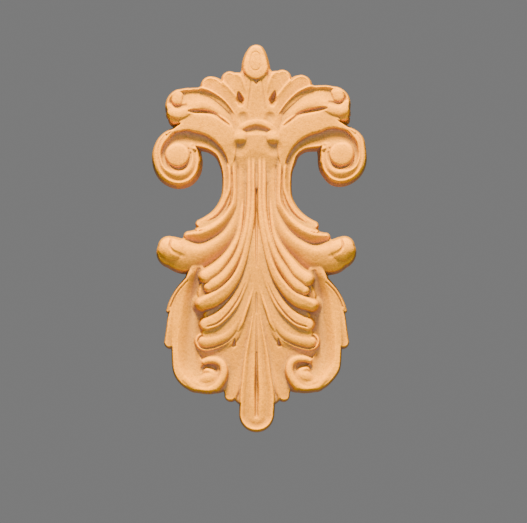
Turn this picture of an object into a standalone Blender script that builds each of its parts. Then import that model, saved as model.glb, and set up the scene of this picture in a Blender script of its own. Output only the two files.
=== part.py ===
"""Carved acanthus applique in the outline of a corbel, in metres. Flat back on the wall plane y = 0."""
import bpy
import bmesh
import numpy as np

# Real sizes in millimetres
HEIGHT = 195.0             # overall, finial to tongue
WIDTH = 108.0              # overall, over the volutes
DEPTH = 16.0               # back to the highest leaf
WELD = 0.02                # points closer than this become one
MM = 0.001

# The drawing: the carving is written for a panel of this size and follows the real one in its three shares
DRAWN_HEIGHT = 195.0
DRAWN_WIDTH = 108.0
DRAWN_DEPTH = 16.0
MARGIN = 3.0               # field of points beyond the outline
PITCH = 0.8                # spacing of the points before thinning
CUT_DEPTH = 8.0            # how far the wall runs on behind the back plane before the cut
WALL_TOP = 11.0            # rise of the outer wall for each millimetre inwards, where it faces up or out
WALL_FOOT = 5.0            # the same where it faces down
WALL_INNER = 6.0           # the same where it faces the stem
ROUNDING = 1.2             # edge rounding between wall and top
FACES = 8600               # triangles kept on the carved side

NAME = "acanthus_applique"
WOOD_COLOUR = (0.79, 0.50, 0.26, 1.0)
WOOD_ROUGHNESS = 0.62

# Sections across a leaf: (place across, -1 lower edge to 1 upper edge; height, 1 is the crest)
ROUND = ((-1, 0), (-.9, .42), (-.7, .72), (-.4, .93), (0, 1), (.4, .93), (.7, .72), (.9, .42), (1, 0))
FLAT = ((-1, 0), (-.85, .7), (-.5, .95), (0, 1), (.5, .95), (.85, .7), (1, 0))
SLOPING = ((-1, 0), (-.85, .25), (-.5, .6), (0, .88), (.4, 1), (.75, .88), (1, .5))
ROLLED = ((-1, 0), (-.88, .36), (-.65, .64), (-.35, .85), (0, .96), (.3, 1), (.6, .9), (.85, .55), (1, .1))
CREST_OUT = ((-1, 0), (-.6, .35), (0, .75), (.45, 1), (.8, .8), (1, .3))
CREST_IN = ((-1, .1), (-.8, .8), (-.5, 1), (0, .7), (.6, .3), (1, .1))
SCROLL_RING = ((-1, 0), (-.8, .5), (-.58, .95), (-.42, 1), (-.22, .9), (0, .66), (.14, .52), (.27, .56),
               (.4, .66), (.55, .5), (.75, .25), (.9, .08), (1, 0))
LIPPED = ((-1, 0), (-.85, .3), (-.7, .6), (-.5, .88), (-.25, 1), (0, .95), (.15, .72), (.3, .36),
          (.45, .16), (.66, .08), (.78, .4), (.88, .85), (.94, 1), (1, .8))
COVE = ((-1, .9), (-.86, 1), (-.5, .45), (-.1, .15), (.4, 0), (1, .1))
PETAL = ((-1, 0), (-.6, .15), (0, .25), (.5, .5), (.85, 1), (1, .3))
CAPSULE = ((-1, .1), (-.87, .55), (-.72, .12), (-.5, .72), (-.1, 1), (.3, 1), (.5, .75), (.68, .12),
           (.86, .55), (1, .1))
TONGUE = ((-1, .1), (-.9, 1), (-.6, .5), (-.32, .66), (-.14, .6), (0, .1), (.14, .6), (.32, .66), (.6, .5),
          (.9, 1), (1, .1))

# Leaves of one half: rows of distance from the axis, height on the panel, half width, rise off the wall
GROUND = ((0, -14, 8, 6.5), (0, -32, 26, 6.5), (0, -50, 33, 6.6), (0, -60, 28, 6.2), (0, -71, 15, 5.6))
SIDE_LOBE = ((9.5, -54, 6, 6.2), (11.2, -66, 5.6, 6.6), (12.2, -74, 5.0, 6.8), (12.9, -78.8, 3.2, 6.4))
FRAME_TIP_1 = ((30.6, -14.5, 2.2, 11.6), (32.6, -19, 2.4, 11.2), (35, -22.6, 2.8, 10.2),
               (38, -26.8, 3.1, 9), (40.6, -31, 2.9, 7.8), (42.6, -34.2, 2.3, 6.8), (43.9, -36.2, 1.5, 6))
FRAME_TIP_2 = ((33, -22, 3, 7.6), (36.7, -29, 4.0, 7.6), (40.4, -38, 3.9, 7.3), (42.0, -46, 3.5, 7),
               (43.2, -52.2, 3.2, 6.4))
FRAME = ((29.5, -15, 3.2, 11), (31.6, -21, 4.2, 10.2), (33.8, -27.5, 5.4, 9), (35.8, -35, 5.8, 8.2),
         (36.8, -44, 6.0, 8), (36.8, -54, 6.0, 8), (35.2, -62.3, 7.4, 8.4), (33.8, -66, 7.9, 8.8),
         (31.2, -69.2, 7.4, 9), (25.5, -71.2, 6.8, 9.4))
FRAME_TROUGH = ((29.2, -15.5, 1.4, 10.2), (31.2, -22, 2.5, 8.2), (33.4, -28.5, 3.2, 6.2),
                (35.2, -36, 3.7, 4.8), (36.0, -44, 3.8, 4.4), (35.8, -54, 3.8, 4.4),
                (34.2, -61.6, 4.0, 4.8), (30.2, -66.6, 3.4, 5.6), (26.8, -69, 2.4, 6.8))
LOW_VOLUTE = ((30, -70.2, 7.2, 7.8), (22, -70.9, 6.9, 8), (19.4, -67.8, 4.2, 8.2), (19.4, -64, 4, 8.2),
              (22, -63.4, 3.4, 8))
LOW_EYE = ((20.6, -66.2, 1.0, 1.2), (21.4, -64.6, 1.3, 3.4), (23.8, -63.7, 1.5, 4.4),
           (26.2, -64.2, 1.3, 3.4), (27.4, -65.4, 1.0, 1.2))
LOW_BALL = ((27.6, -69.6, 2.4, 8.6), (24.4, -68.6, 2.8, 9.6), (22.4, -67.2, 2.4, 10))
BROAD_LEAF = ((0, 14, .6, 8.6), (0, 6, 1.4, 10), (0, -4, 3.4, 11), (0, -12, 6.4, 11), (0, -20, 8.8, 10.6),
              (0, -28, 9.4, 10.2), (0, -38, 8, 9.2), (0, -46, 6, 8.2))
FINGER_J = ((5, -36, 1.8, 9.2), (6.2, -46, 2.2, 8.6), (7.4, -52.5, 1.9, 7.8), (8.4, -56, 1.2, 7.0))
FINGER_I = ((6.5, -42, 1.6, 9.2), (10.2, -47.6, 2.3, 8.9), (13.5, -51.4, 2.5, 8.4), (16.4, -54.2, 1.9, 7.4))
FINGER_H = ((4.5, -27, 1.6, 9.8), (7.0, -38, 2.4, 9.8), (10.5, -43.9, 3.0, 9.9), (14.5, -48.1, 3.6, 10),
            (19.5, -50.6, 4.1, 10), (24.5, -51.6, 4.6, 9.8), (26.2, -51.4, 4.5, 9.6))
FINGER_H_RIM = ((4, -21, 0.7, 9.6), (6.4, -27.4, 1.0, 10.2), (10.8, -34.8, 1.2, 10.2),
                (16.2, -40.8, 1.3, 10.2), (21, -44.4, 1.3, 10), (25, -45.6, 1.2, 9.6))
FINGER_G = ((3.5, -14, 2.2, 10.9), (6.2, -22, 2.4, 11.1), (9.4, -28.6, 2.7, 11.3), (12.4, -33.4, 3.0, 11.7),
            (16.2, -37.6, 3.2, 11.8), (20.8, -41, 3.5, 11.8), (24.8, -42.7, 3.4, 11.4))
TONGUE_LEAF = ((0, -30, .8, 9.6), (0, -45.6, 3.5, 9.8), (0, -58, 6, 9.4), (0, -70.6, 7.6, 9.2),
               (0, -80, 8.5, 8.8), (0, -88.5, 8.7, 8.2))
EDGE_LEAF = ((14.4, 34, 2.9, 9.3), (14.3, 29.4, 2.9, 9.6), (14.3, 24.4, 3.0, 9.8), (15.0, 20, 3.1, 9.8),
             (17.3, 14.9, 3.3, 9.8), (20.8, 11.0, 3.2, 9.8), (25.1, 8.4, 2.9, 9.6), (28.2, 7.3, 2.5, 9.2))
RIDGE_1 = ((14.6, 44, .9, 11.6), (14.1, 40, .8, 11.4), (13.5, 34.4, .8, 11.2), (13.25, 29.4, .8, 11.2),
           (13.75, 24.4, .8, 11.2), (15.25, 20.4, .8, 11.1), (17.25, 16.4, .8, 10.9),
           (20.25, 12.4, .8, 10.3), (24.25, 9.4, .7, 9.3))
SECOND_LEAF = ((11.4, 46, .8, 9.0), (11.2, 38, 1.1, 10.8), (10.9, 24.4, 1.2, 11.4), (11.1, 19, 1.4, 11.5),
               (12.0, 15.4, 1.8, 11.7), (15.8, 9.0, 2.7, 11.9), (21, 4.3, 3.4, 12.0),
               (26.8, 1.5, 3.6, 11.6), (31.4, 1.1, 3.2, 10.6), (34.0, 1.2, 2.7, 9.6))
ROLL_LEAF = ((7.6, 46, 2.0, 8.6), (7.3, 38, 2.5, 9.4), (7.2, 24.4, 2.8, 9.6), (8.3, 15, 3.0, 10.2),
             (10.4, 8.2, 3.5, 11.4), (14.25, 1.4, 4.1, 12.6), (20.25, -4.2, 5.5, 13.3),
             (27.5, -8.2, 6.7, 13.7), (35.4, -9.1, 8.7, 13.7), (42.3, -6.9, 8.0, 13.6))
ROLL_END = ((42.6, -4.9, 6.1, 13.5), (44.0, -4.2, 5.6, 13.4))
ROLL_CREASE = ((42.2, .4, .9, 2.2), (43.0, -1.8, .8, 2.0), (43.3, -3.6, .8, 1.7), (42.6, -5.2, 1.0, .8),
               (41.0, -6.6, 1.3, .5), (36.5, -8.6, 1.4, .3))
LEAF_D = ((7.0, 20, .5, 9.2), (7.4, 14, .9, 10.8), (8.9, 2.6, 1.4, 12.2), (11.75, -4.4, 1.8, 13.4),
          (15.5, -10.2, 2.4, 14.4), (20.25, -15.4, 3.1, 15.7), (25.0, -18.8, 3.5, 15.6))
LEAF_E = ((3.9, 46, 1.0, 9.0), (3.7, 38, 1.1, 11), (3.7, 20, 1.15, 11.5), (4.6, 8.4, 1.4, 12),
          (6.3, .4, 1.9, 12.6), (8.75, -6.6, 2.1, 13.2), (12.0, -12.9, 2.4, 14.2), (16.0, -18.0, 2.9, 15.1),
          (20.5, -22.0, 3.3, 15.9), (23.4, -24.1, 3.0, 15.2))
LEAF_F = ((1.4, 44, 1.0, 9.2), (1.3, 37, 1.1, 11.3), (1.3, 20, 1.15, 11.7), (2.4, 8, 1.25, 12),
          (4.8, -4.6, 1.5, 12.6), (7.25, -13.1, 1.8, 13.4), (10.5, -20.1, 2.4, 14.0),
          (15.5, -25.9, 3.2, 14.7), (21.5, -30.1, 3.8, 15.0), (26.75, -32.5, 3.1, 14.4))
FAN = ((0, 80, 7, 10.6), (0, 72, 10, 11.2), (0, 62, 13, 12), (0, 54, 12, 12.3), (0, 48, 10.5, 11.8),
       (0, 43, 11.5, 10.6), (0, 37, 11, 9.4))
VOLUTE_FLOOR = ((39.3, 40.6, 11.8, 10),)
BAY_RIM = ((14.6, 20, 1.6, 7.6), (14.9, 27, 2.2, 8.6), (14.9, 32, 2.5, 9.2), (15.2, 37.2, 3.4, 9.9),
           (17.4, 42.6, 3.7, 10.8), (21.2, 46.3, 4.2, 11.2), (25.4, 48.6, 5.0, 11.4), (30, 49.6, 5.2, 11.4),
           (36, 50.4, 4.4, 11.2))
SCROLL = ((13.1, 33, .6, 9.2), (12.95, 36.5, .9, 10.8), (12.8, 40, 1.8, 12.0), (13.2, 44, 3.2, 12.8),
          (14.3, 48.4, 4.8, 13.3), (16.2, 52.2, 5.8, 13.6), (19, 55.2, 6.2, 13.8), (22.6, 57, 6.0, 13.9),
          (26.8, 57.9, 5.4, 13.9), (32, 58.2, 4.7, 13.8), (35.5, 57.3, 3.4, 13.6), (38.5, 55.6, 1.8, 13.4),
          (41.4, 54.5, 1.3, 13.2), (44, 52.9, 1.4, 13))
RING = ((40.6, 54.5, 1.4, 12.0), (43.4, 53.0, 1.9, 12.8), (45.8, 50.7, 2.5, 13.1), (47.8, 47.2, 3.1, 13.2),
        (48.6, 42, 3.9, 13.4), (47.5, 36.4, 4.4, 13.4), (44.6, 32.2, 4.8, 13.2), (40, 30.1, 5.0, 13),
        (35.4, 30.8, 4.9, 12.8), (32.2, 33.8, 4.4, 12.4), (31.0, 37.8, 4.0, 12), (31.1, 41, 3.7, 11.8),
        (31.6, 44.6, 3.4, 11.4))
SPIRAL = ((36, 50.6, 2.2, 11.2), (41, 49.6, 1.9, 11.0), (44.4, 46.6, 1.4, 10.2), (46.2, 42, 1.1, 9.6),
          (45.2, 37, .9, 10.4), (42.2, 34.4, .7, 11.6), (38.2, 34.2, .7, 12.0), (34.8, 35.8, .7, 11.6),
          (33.2, 39, .8, 11), (33.2, 42.4, 1.0, 10.8))
BOSS = ((39.4, 41.7, 6.0, 13.5),)
TOP_CURL = ((11, 56, 3, 10.5), (15.4, 61.6, 4.6, 12.4), (20.6, 66.2, 5.6, 13.2), (27, 68.6, 6.9, 13.8),
            (32.4, 67.7, 8.4, 14.2), (36.4, 66.2, 9.5, 14.2))
CURL_KNOB = ((39.4, 71.2, 2.6, 14.0), (39.6, 69.2, 2.6, 14.0))
CURL_LIP = ((43.5, 65.2, 2.1, 13.8), (41.5, 62.8, 2.3, 14.4), (38.2, 62.0, 2.4, 14.5),
            (35, 63.2, 2.0, 14.3), (33, 64.4, 1.2, 13.8))
CURL_FOLD = ((43.0, 71.4, .6, .3), (43.1, 69.0, .9, .7), (41.6, 66.6, 1.1, .9), (38.4, 65.9, 1.5, 1.3),
             (35.4, 66.4, 1.3, .8))
CURL_SLIT = ((33.6, 63.6, 1.0, 1.0), (31, 63.6, 1.4, 2.2), (26, 63.2, 1.4, 2.2), (21.4, 62.2, 1.2, 1.6),
             (17.2, 59.4, 1.0, 1.3), (13.6, 56.6, .9, .7))
PETAL_2 = ((7.4, 60, 3, 9.6), (10.6, 65.4, 4.0, 12), (15.4, 71, 4.8, 12.8), (20.4, 75.3, 5.4, 13),
           (22.7, 76.2, 5.4, 12.8))
PETAL_1 = ((6.5, 66, 2.6, 9.6), (8.2, 73, 3.8, 12.4), (10.6, 77.8, 4.9, 12.8), (12.9, 79.4, 4.7, 12.4))
FAN_PANEL = ((0, 60, 5.5, 11), (0, 72, 5.6, 12.4), (0, 80, 5.5, 12.8))
EYE = ((8.9, 73.6, .6, .8), (8.5, 71, 1.5, 3.4), (8.2, 69, 1.9, 4.4), (8.1, 68.2, 1.7, 3))
DIMPLE = ((6.7, 60.6, 3.2, 1.1), (6.2, 59.4, 3.0, 1.0))
FINIAL_CLEFT = ((0, 79.6, 2.4, 1.4), (0, 77.4, .8, .9))
FINIAL_BODY = ((0, 92.8, 4.7), (0, 90.6, 5.8), (0, 88, 6.6), (0, 84.6, 7.1), (0, 80, 7.3))
FINIAL = ((0, 91.6, 4.4, 14.0), (0, 88.6, 5.6, 14.3), (0, 85.6, 5.8, 14.3))
FINIAL_INCISION = ((0, 91.2, 2.0, .35), (0, 88.2, 2.6, .35), (0, 86.4, 2.5, .35))
ARCH = ((9.4, 54.4, 1.5, 12.6), (6.8, 57.0, 1.5, 12.9), (3.4, 58.8, 1.5, 13.1), (0, 59.4, 1.5, 13.1))
ARCH_RECESS = ((8, 54.0, .9, 1.4), (4.5, 55.4, 1.5, 2.6), (0, 56.2, 1.8, 3.0))
BULB = ((8.1, 51.0, 3.2, 14.2),)
BULB_SHADE = ((8.4, 46.4, 3.4, 1.3),)

STEM_CLEFT = ((0, 47, .5, .1), (0, 42, .8, 1.2), (0, 35, 1.0, 3.0), (0, 14, 1.0, 3.2), (0, 2, .9, 2.2),
              (0, -14, .5, .6))
V_RIDGE = ((1.4, -24, .6, 10.4), (3.8, -31.6, .8, 11), (5.7, -37.2, .8, 10.9), (7.2, -42, .8, 10.4),
           (9.2, -45.8, .6, 9.4))
V_CLEFT = ((0, -27, .6, .3), (0, -31, 1.0, 1.0), (0, -37, .8, .6))
G_LINE = ((5.4, -22, .4, .2), (8.2, -28.4, .6, .8), (11.2, -33.4, .7, 1.1), (15.2, -38.4, .7, 1.2),
          (19.6, -42.2, .7, 1.2), (24.6, -43.9, .6, .8))
I_NOTCH = ((10.8, -49.8, .3, .6), (11.1, -51.6, .9, 1.8), (11.3, -53.4, 1.4, 2.0))
TIP_LINE = ((34.6, -21, .6, .6), (38.7, -25.6, .7, 1.1), (41.2, -29.6, .7, 1.1), (43, -34.1, .6, .8))
PANEL_LINE = ((2.6, 79, .5, .4), (3.4, 72, .6, .7), (4.4, 64.5, .5, .4))
LOW_RIM = ((36, -70.2, 1.8, 9.2), (31.2, -74.2, 1.8, 9.6), (26, -75.8, 1.9, 10), (21.4, -74.8, 2.0, 10.4),
           (18, -71.2, 2.0, 10.6), (16.4, -67, 1.8, 10.6), (17.2, -63, 1.7, 10.4), (20, -61, 1.6, 10.2),
           (23.5, -60.8, 1.4, 9.8), (26.2, -61.6, 1.1, 9))
CENTRE_CLEFT = ((0, -57, .6, .5), (0, -66, .9, 1.6), (0, -72, 1.1, 2.8), (0, -77, 1.0, 2.8),
                (0, -83, .8, 1.6), (0, -88, .6, .6))
FINGER_BED = ((5, -28, 4, 10), (10, -36, 4.6, 10), (16, -43, 5, 9.8), (22, -47, 5, 9.4))
LEAF_BED = ((20, -16, 3, 11), (23.5, -21, 3.2, 11), (26, -27, 2.8, 10.4), (26.8, -31.5, 1.8, 9))
# Solid body under the leaves: rows of distance from the axis, height, half width
EDGE_BODY = ((12.5, 32, 2.4), (12.8, 22, 3.2), (16.4, 13.8, 4), (21.4, 8.8, 4), (25.6, 5.8, 3.6),
             (28.6, 4.2, 2.4))
PETAL_BODY = ((6.8, 78.2, 5.2), (11.4, 78.2, 5.1), (15, 75, 5), (19, 72.6, 5))
ROLL_BODY = ((30, -7.6, 6.2), (36, -8.2, 8.2), (41.5, -6.7, 8), (43.6, -4.6, 5.2))
STEM_BODY = ((0, 84, 6), (0, 76, 12), (0, 64, 17), (0, 48, 15.5), (0, 40, 15.5), (0, 34, 15), (0, 28, 15),
             (0, 18, 16), (0, 10, 18), (0, -4, 20), (0, -18, 22), (0, -30, 26))
WING_BODY = ((8, 8, 8), (16, 2, 9), (24, -4, 9), (32, -7, 9))
LOWER_BODY = ((12, -10, 9), (17, -20, 11), (24, -26, 9), (27, -34, 8), (27, -50, 9), (26, -64, 9),
              (20.4, -69.8, 7.9))
SHOULDER_BODY = ((22, -12, 7), (28, -16, 6), (31, -22, 5.5))
NECK_BODY = ((22, 74, 5), (30, 71.5, 4), (35, 69, 6.4), (38, 66.4, 7.4), (39.6, 62.4, 6.1),
             (39.6, 60.2, 4.8))
SCROLL_BODY = ((18, 47, 5.5), (24, 51.5, 7.2), (31, 53.4, 6.8), (36, 52.4, 6.2), (39.6, 50.2, 5.6),
               (42.3, 46.5, 7))
UPPER_BODY = ((10, 52, 9), (18, 58, 9), (26, 62, 9), (34, 63, 8), (37.4, 62.8, 7.6))

LEAN_PLACE = 88.0       # height at which the finial leans most
LEAN_REACH = 8.0
LEAN = 0.6              # how far it leans to the left

# Right half: where the hand strayed from the left one: place, reach, outward, up
DRIFT = ((49, 53, 7, 5.2, .8), (33, 29, 5.5, 5.6, .6), (24, 43, 4, -.7, .65), (40, -14.6, 4, 2, -.5),
         (34, 76, 5, 0, 1.6), (34, -71, 5, -1.6, .3), (42, 41, 9, 3.2, .4), (51, 38, 6, 3.6, .6),
         (29.5, 38, 6, 4.6, -.5), (40, 30, 6, 3.2, 1.4), (43, 66, 9, 1.6, 2.0), (42, 56, 5, 4.2, 1.4),
         (20, 48, 8, .4, -.3), (14, 82, 6, .6, 1), (24, 78, 6, -.2, .9), (14, 30, 6, .5, 0),
         (28, 5, 6, .5, -.9), (33, 2, 6, .8, -1), (26, -20, 6, -.8, -1.6), (25, -26, 6, .4, -1.9),
         (28, -32, 6, .6, -.6), (44, -8, 9, -.2, .1), (32, -18, 5, .6, -.7), (26, -43, 6, .4, 0),
         (26, -51, 6, 1.2, -.1), (22, -66, 9, .2, 1), (44, -45, 9, .1, .1), (12, -79, 6, .8, 0))


def through(rows, steps=8):
    """The rows joined by a smooth curve."""
    p = np.asarray(rows, float)
    if len(p) == 1:
        p = np.vstack([p, p + (1e-3, 0, 0, 0)])
    p = np.vstack([2 * p[0] - p[1], p, 2 * p[-1] - p[-2]])
    t = np.arange(steps)[:, None] / steps
    out = []
    for a, b, c, d in zip(p, p[1:], p[2:], p[3:]):
        out.append(b + .5 * t * (c - a + t * (2 * a - 5 * b + 4 * c - d + t * (3 * (b - c) + d - a))))
    return np.vstack(out + [p[-2:-1]])


def smooth_max(a, b, k):
    h = np.clip(1 - np.abs(a - b) / k, 0, 1)
    return np.maximum(a, b) + h * h * k / 4


def smooth_min(a, b, k):
    return -smooth_max(-a, -b, k)


class Relief:
    """Heights off the wall over a field of points."""

    def __init__(self, u, z):
        self.u, self.z = u.ravel(), z.ravel()
        self.top = np.full(self.u.shape, 2.0)
        self.rim = np.full(self.u.shape, -40.0)

    def near(self, rows, margin):
        """Points near a stroke: distance, side, how far along, and the stroke's width and height there."""
        p = through(rows)
        reach = p[:, 2].max() + margin
        low, high = p[:, :2].min(0) - reach, p[:, :2].max(0) + reach
        m = np.flatnonzero((self.u > low[0]) & (self.u < high[0]) & (self.z > low[1]) & (self.z < high[1]))
        u, z = self.u[m], self.z[m]
        far = np.full(u.shape, 1e9)
        side, row, outward, upward = (np.zeros(u.shape) for _ in range(4))
        for i, (a, b) in enumerate(zip(p[:-1, :2], p[1:, :2])):
            d = b - a
            n2 = d @ d + 1e-12
            t = np.clip(((u - a[0]) * d[0] + (z - a[1]) * d[1]) / n2, 0, 1)
            eu, ez = u - a[0] - t * d[0], z - a[1] - t * d[1]
            r = np.hypot(eu, ez)
            w = r < far
            far[w] = r[w]
            row[w] = (i + t)[w]
            side[w] = ((d[0] * ez - d[1] * eu) / np.sqrt(n2) / np.maximum(r, 1e-6))[w]
            outward[w] = (eu / np.maximum(r, 1e-6))[w]
            upward[w] = (ez / np.maximum(r, 1e-6))[w]
        n = np.arange(len(p))
        w = np.maximum(np.interp(row, n, p[:, 2]), .05)
        slope = WALL_TOP - (WALL_TOP - WALL_FOOT) * np.maximum(-upward, 0)
        slope -= (WALL_TOP - WALL_INNER) * np.maximum(-outward, 0)
        rim = np.maximum(slope, WALL_FOOT) * (w - far)
        return m, far, side, row / (len(p) - 1), w, np.interp(row, n, p[:, 3]), rim

    def raise_leaf(self, rows, shape=ROUND, bulge=.9, most=3.0, drop=(1.0, 3.0), blend=.5):
        m, d, side, along, w, h, rim = self.near(rows, 4)
        k = through(shape, 6)
        r = np.clip(d / w, 0, 1)
        f = np.interp(r, k[:, 0], k[:, 1]) * (1 + side) / 2
        f += np.interp(-r, k[:, 0], k[:, 1]) * (1 - side) / 2
        out = np.maximum(d - w, 0)
        step = drop[0] + (drop[1] - drop[0]) * along
        top = h - np.minimum(bulge * w, most) * (1 - f)
        top -= np.minimum(4 * out, step) + 1.2 * np.maximum(out - step / 4, 0)
        self.top[m] = smooth_max(self.top[m], top, blend)
        self.rim[m] = np.maximum(self.rim[m], rim)

    def fill_body(self, rows):
        m, _, _, _, _, _, rim = self.near([(u, z, half, 0) for u, z, half in rows], 4)
        self.rim[m] = np.maximum(self.rim[m], rim)

    def fill_egg(self, rows):
        """Circles along a short path, for an outline that tapers fast."""
        for u, z, r, _ in through([(u, z, half, 0) for u, z, half in rows]):
            self.rim = np.maximum(self.rim, WALL_TOP * (r - np.hypot(self.u - u, self.z - z)))

    def cut_groove(self, rows, power=2.0):
        m, d, _, _, w, depth, _ = self.near(rows, .2)
        self.top[m] -= depth * (1 - np.clip(d / w, 0, 1) ** 2) ** power

    def ring_line(self, rows):
        """A fine line around a stroke's edge."""
        m, d, _, _, w, depth, _ = self.near(rows, .6)
        self.top[m] -= depth * np.clip(1 - np.abs(d - w) / .5, 0, 1)

    def cut_trough(self, rows, lip=.8, wall=4.0, blend=.6):
        m, d, _, _, w, floor, _ = self.near(rows, 3)
        z = floor + lip * np.minimum(d / w, 1) ** 2 + wall * np.maximum(d - w, 0)
        self.top[m] = smooth_min(self.top[m], z, blend)

    def height(self):
        return smooth_min(self.top, self.rim, ROUNDING)


def draw(R):
    SHEER = (9, 9)
    R.fill_body(STEM_BODY)
    R.fill_body(WING_BODY)
    R.fill_body(UPPER_BODY)
    R.fill_body(NECK_BODY)
    R.fill_body(SCROLL_BODY)
    R.fill_body(LOWER_BODY)
    R.fill_body(SHOULDER_BODY)
    R.fill_body(EDGE_BODY)
    R.fill_body(PETAL_BODY)
    R.fill_body(ROLL_BODY)
    R.raise_leaf(GROUND, FLAT, .1)
    R.raise_leaf(SIDE_LOBE, CREST_IN, .4, 2.4, drop=(0, 1))
    R.raise_leaf(FRAME_TIP_1, CREST_OUT, .5, drop=SHEER)
    R.raise_leaf(FRAME_TIP_2, FLAT, .25, drop=SHEER)
    R.raise_leaf(FRAME, FLAT, .2, drop=SHEER)
    R.raise_leaf(LOW_VOLUTE, ROUND, .5, drop=SHEER)
    R.cut_trough(FRAME_TROUGH, 1.6, 1.3)
    R.cut_groove(LOW_EYE)
    R.raise_leaf(LOW_RIM, ROUND, .9, drop=SHEER)
    R.raise_leaf(LOW_BALL, ROUND, .8, drop=SHEER)
    R.cut_groove(TIP_LINE)
    R.raise_leaf(BROAD_LEAF, FLAT, .15)
    R.raise_leaf(LEAF_BED, FLAT, .1, drop=(1, 2))
    R.raise_leaf(FINGER_BED, FLAT, .1, drop=(1, 9))
    R.raise_leaf(FINGER_J, ROUND, .5, drop=(0, 1))
    R.raise_leaf(FINGER_I, ROUND, .5, drop=(0, 2))
    R.raise_leaf(FINGER_H, CAPSULE, .7, drop=(1, 9))
    R.raise_leaf(FINGER_H_RIM, ROUND, .7, drop=(1, 2))
    R.raise_leaf(FINGER_G, FLAT, .7, drop=(1, 4))
    R.cut_groove(G_LINE)
    R.cut_groove(I_NOTCH)
    R.raise_leaf(V_RIDGE, ROUND, 1, drop=(0, 1))
    R.raise_leaf(TONGUE_LEAF, TONGUE, .5, 3.0, drop=(1, 9))
    R.cut_groove(CENTRE_CLEFT, 1.5)
    R.raise_leaf(EDGE_LEAF, CREST_IN, .8, 2.0, drop=(0, 2))
    R.raise_leaf(RIDGE_1, ROUND, 1.2, drop=(0, 0))
    R.raise_leaf(SECOND_LEAF, SLOPING, 1.3, 3.8, drop=(0, 3))
    R.raise_leaf(ROLL_LEAF, ROLLED, .9, 5.5, drop=(0, 9))
    R.raise_leaf(ROLL_END, ROUND, .9, 5, drop=SHEER, blend=3)
    R.cut_groove(ROLL_CREASE)
    R.raise_leaf(LEAF_D, ROUND, 1.4, 3.6, drop=(0, 9))
    R.raise_leaf(LEAF_E, ROUND, 1.6, 3.6, drop=(0, 5))
    R.raise_leaf(LEAF_F, ROUND, 1.6, 4, drop=(0, 5))
    R.cut_groove(STEM_CLEFT)
    R.cut_groove(V_CLEFT)
    R.raise_leaf(FAN, FLAT, .1)
    R.raise_leaf(VOLUTE_FLOOR, FLAT, .05)
    R.raise_leaf(BAY_RIM, COVE, .42, 1.8, drop=(0, 3))
    R.raise_leaf(SCROLL, FLAT, .25, 1.2, drop=(1, 9))
    R.raise_leaf(RING, SCROLL_RING, .75, 3.4, drop=SHEER)
    R.cut_trough(SPIRAL, .5, 2.6)
    R.raise_leaf(BOSS, FLAT, .3, drop=SHEER)
    R.raise_leaf(TOP_CURL, LIPPED, .45, 2.9, drop=(1, 2.5))
    R.raise_leaf(CURL_KNOB, ROUND, .5, drop=(2, 2), blend=1.5)
    R.raise_leaf(CURL_LIP, ROUND, .55, drop=SHEER, blend=1.5)
    R.cut_groove(CURL_FOLD)
    R.cut_groove(CURL_SLIT)
    R.raise_leaf(PETAL_2, PETAL, .25, drop=(0, 2))
    R.raise_leaf(PETAL_1, PETAL, .25, drop=(0, 2))
    R.raise_leaf(FAN_PANEL, FLAT, .1, drop=(0, 1))
    R.cut_groove(EYE)
    R.cut_groove(DIMPLE, 1.5)
    R.cut_groove(PANEL_LINE)
    R.cut_groove(FINIAL_CLEFT)
    R.fill_egg(FINIAL_BODY)
    R.raise_leaf(FINIAL, FLAT, .1, drop=(2.4, 2.4))
    R.ring_line(FINIAL_INCISION)
    R.cut_groove(ARCH_RECESS)
    R.raise_leaf(ARCH, ROUND, .6, drop=(1, 1), blend=1)
    R.raise_leaf(BULB, ROUND, .85, drop=(1.5, 1.5), blend=1.2)
    R.cut_groove(BULB_SHADE, 1.5)


def half(x, z):
    """Every point of the panel, read on the drawing of one half."""
    x = x + LEAN * np.exp(-((z - LEAN_PLACE) / LEAN_REACH) ** 2)
    u = np.abs(x)
    du, dz, total = np.zeros_like(u), np.zeros_like(u), np.full_like(u, .15)
    for cu, cz, reach, a, b in DRIFT:
        w = np.exp(-((u - cu) ** 2 + (z - cz) ** 2) / reach ** 2)
        du += w * a
        dz += w * b
        total += w
    right = x > 0
    return u - np.where(right, du / total, 0), z - np.where(right, dz / total, 0)


def wood():
    mat = bpy.data.materials.new("carved_wood")
    mat.use_nodes = True
    mat.diffuse_color = WOOD_COLOUR
    skin = mat.node_tree.nodes["Principled BSDF"]
    skin.inputs["Base Color"].default_value = WOOD_COLOUR
    skin.inputs["Roughness"].default_value = WOOD_ROUGHNESS
    skin.inputs["Metallic"].default_value = 0.0
    return mat


def field(name):
    """A grid over the front of the panel, raised to the relief and brought to the real size."""
    field_width = DRAWN_WIDTH + 2 * MARGIN
    field_height = DRAWN_HEIGHT + 2 * MARGIN
    nx = int(round(field_width / PITCH))
    nz = int(round(field_height / PITCH))
    bpy.ops.mesh.primitive_grid_add(x_subdivisions=nx, y_subdivisions=nz, size=1.0)
    obj = bpy.context.active_object
    obj.name = name
    obj.data.name = name
    n = len(obj.data.vertices)
    co = np.empty(n * 3)
    obj.data.vertices.foreach_get("co", co)
    co = co.reshape(n, 3)
    x = co[:, 0] * field_width
    z = co[:, 1] * field_height
    relief = Relief(*half(x, z))
    draw(relief)
    h = np.maximum(relief.height(), -CUT_DEPTH)
    across = x / DRAWN_WIDTH * WIDTH
    away = -h / DRAWN_DEPTH * DEPTH
    up = z / DRAWN_HEIGHT * HEIGHT
    obj.data.vertices.foreach_set("co", (np.stack([across, away, up], 1) * MM).ravel())
    obj.data.update()
    return obj


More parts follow.
